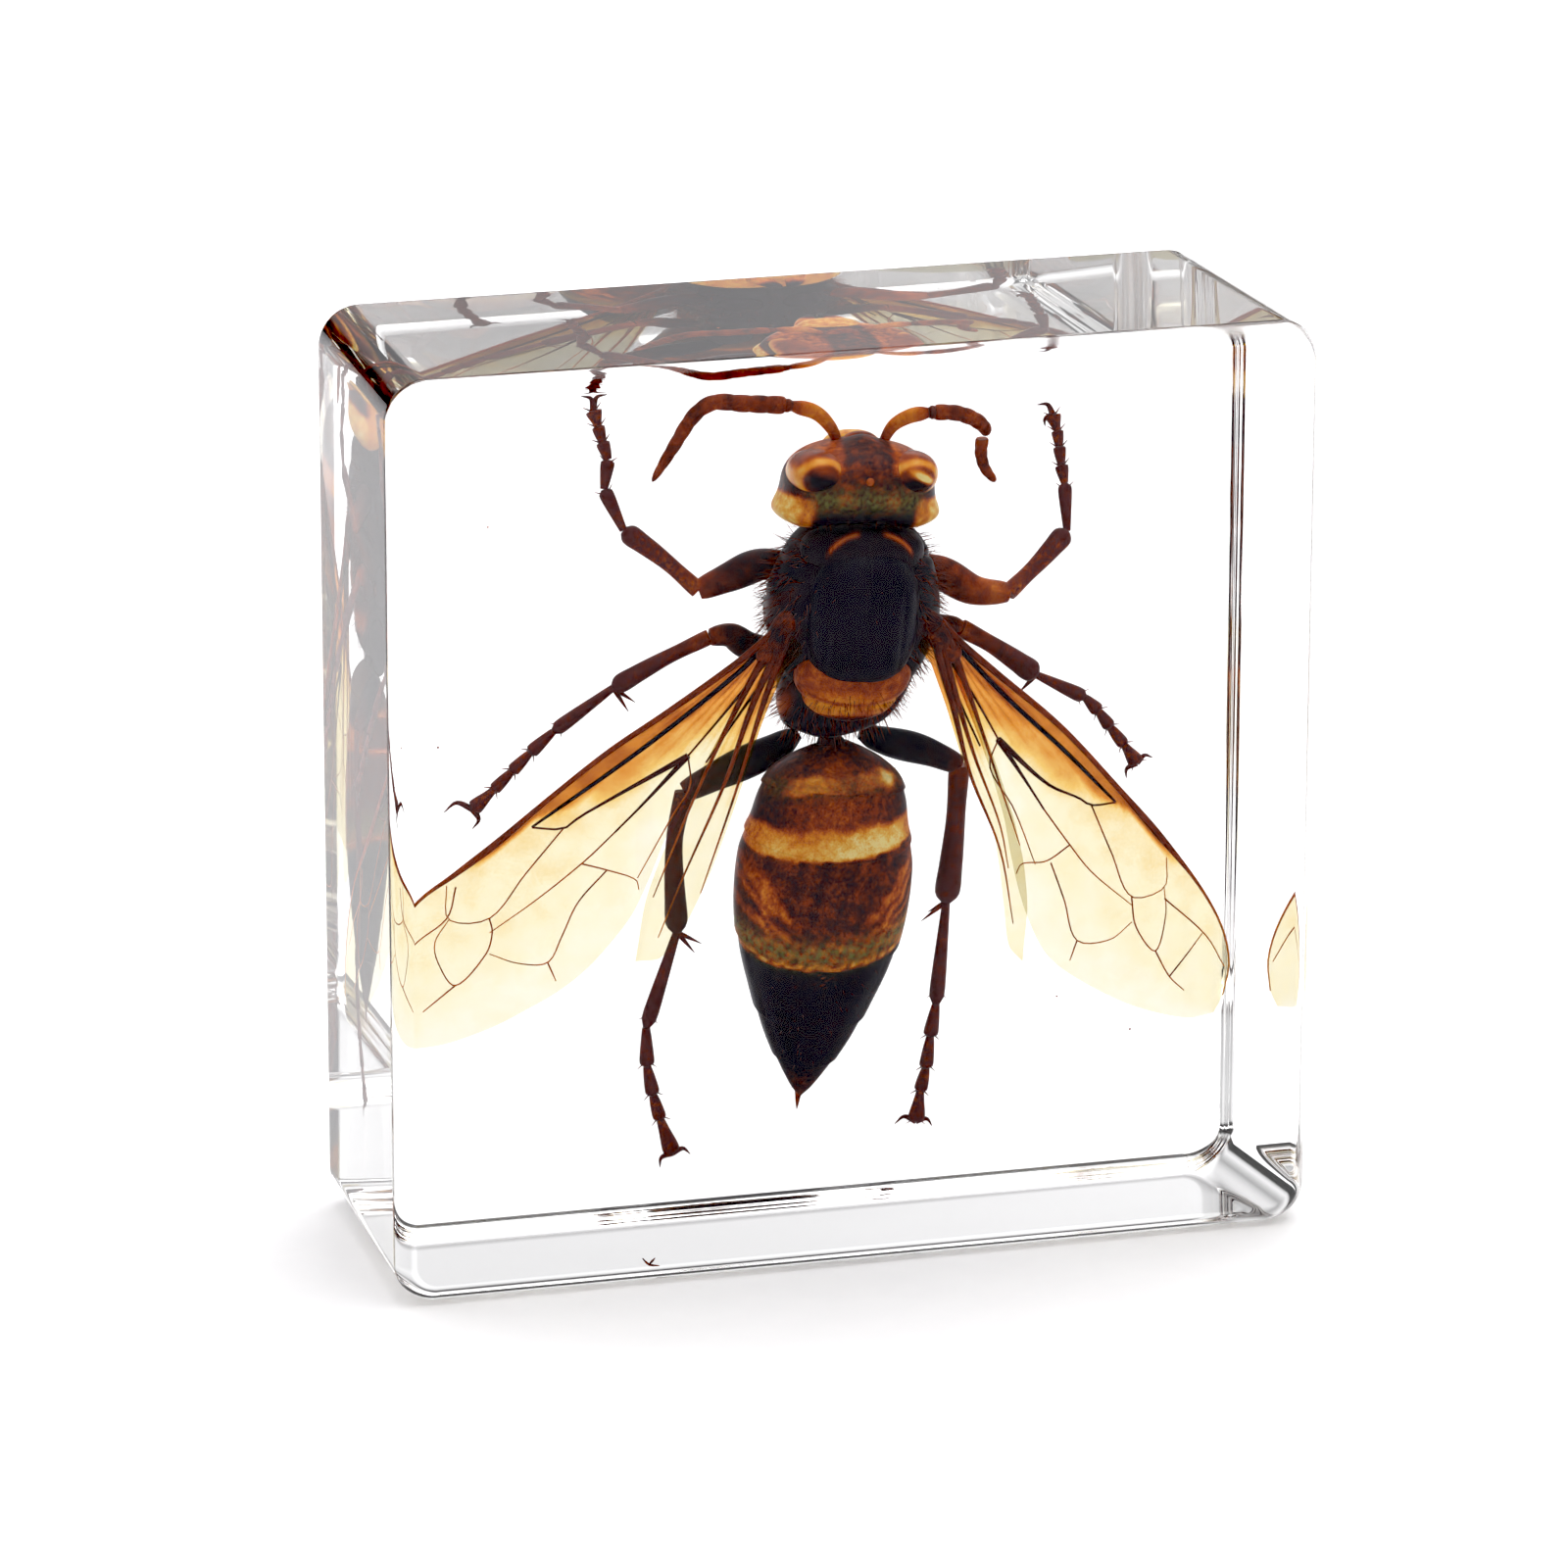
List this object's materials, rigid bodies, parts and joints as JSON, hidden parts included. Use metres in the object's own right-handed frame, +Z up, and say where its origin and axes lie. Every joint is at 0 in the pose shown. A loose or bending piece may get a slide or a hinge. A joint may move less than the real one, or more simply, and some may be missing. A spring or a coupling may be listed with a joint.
{
  "type": "insect in resin block",
  "caption": "Upright slab of clear cast resin with rounded corners and polished faces, with a spread wasp specimen sealed inside, standing on its flat bottom face.",
  "frame": {"origin": "centre of the bottom face that the block stands on", "axes": "+Z up, +X to the right along the broad face, +Y from the front face, which the insect's back looks out of, towards the back face"},
  "size_m": [0.036, 0.0126, 0.036],
  "materials": {
    "clear_resin": "clear, faintly grey cast resin, ground flat and polished to a gloss",
    "dark_cuticle": "black-brown insect shell with a soft sheen, fine pits and short hairs",
    "amber_cuticle": "amber-gold insect shell, mottled with darker brown",
    "red_cuticle": "red-brown, slightly see-through shell of legs and feelers",
    "wing_membrane": "thin amber-yellow wing film with a faint sheen",
    "eye": "dark brown facetted eye"
  },
  "bodies": {
    "root": {"resin_block": "clear_resin"}
  },
  "joints": []
}
